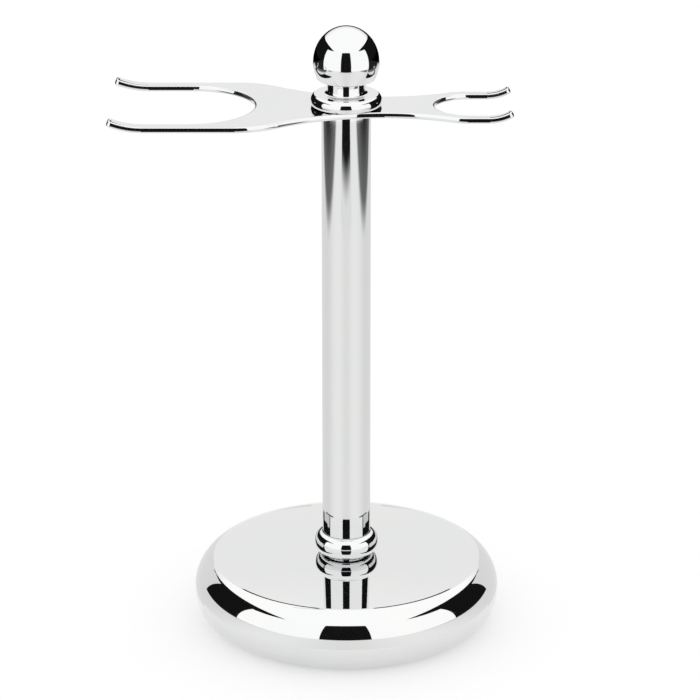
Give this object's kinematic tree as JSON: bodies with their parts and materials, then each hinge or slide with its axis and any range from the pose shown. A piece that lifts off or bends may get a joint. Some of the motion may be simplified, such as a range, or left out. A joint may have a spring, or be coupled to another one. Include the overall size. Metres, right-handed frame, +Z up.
{
  "type": "shaving brush and razor stand",
  "caption": "Polished chrome stand with a weighted round base, tube post and ball finial; a flat plate with a wide and a narrow open fork hangs a shaving brush and a razor.",
  "frame": {"origin": "middle of the base's underside, on the surface the stand rests on", "axes": "+Z up along the post, -X towards the wide brush fork, +X towards the narrow razor fork, -Y to the front"},
  "size_m": [0.0966, 0.0764, 0.1541],
  "materials": {
    "pad_rubber": "matt",
    "base_chrome": "polished",
    "cast_weight": "as cast",
    "zinc_steel": "zinc plated",
    "spring_steel": "oiled",
    "nut_steel": "zinc plated",
    "rod_steel": "zinc plated",
    "collar_chrome": "polished",
    "post_chrome": "polished",
    "bush_brass": "turned",
    "fork_chrome": "polished",
    "seat_chrome": "polished",
    "ball_chrome": "polished"
  },
  "bodies": {
    "stand": {"base_pad": "pad_rubber", "base_shell": "base_chrome", "base_weight": "cast_weight", "base_washer": "zinc_steel", "base_lock_washer": "spring_steel", "base_nut": "nut_steel", "tie_rod": "rod_steel", "base_collar": "collar_chrome", "post_tube": "post_chrome", "post_bush": "bush_brass"},
    "fork": {"fork_plate": "fork_chrome"},
    "finial_seat": {"finial_collar": "seat_chrome"},
    "finial": {"finial_ball": "ball_chrome"}
  },
  "joints": [
    {"name": "fork_swivel", "type": "hinge", "parent": "stand", "child": "fork", "pos_m": [0, 0, 0.1332], "axis": [0, 0, 1], "continuous": true},
    {"name": "finial_rise", "type": "slide", "parent": "stand", "child": "finial_seat", "axis": [0, 0, 1], "range_m": [0, 0.008]},
    {"name": "finial_turn", "type": "hinge", "parent": "finial_seat", "child": "finial", "pos_m": [0, 0, 0.1377], "axis": [0, 0, 1], "range_deg": [0, 3600]}
  ],
  "couplings": [
    {"joint": "finial_turn", "follows": "finial_rise", "rad_per_m": 7854}
  ]
}
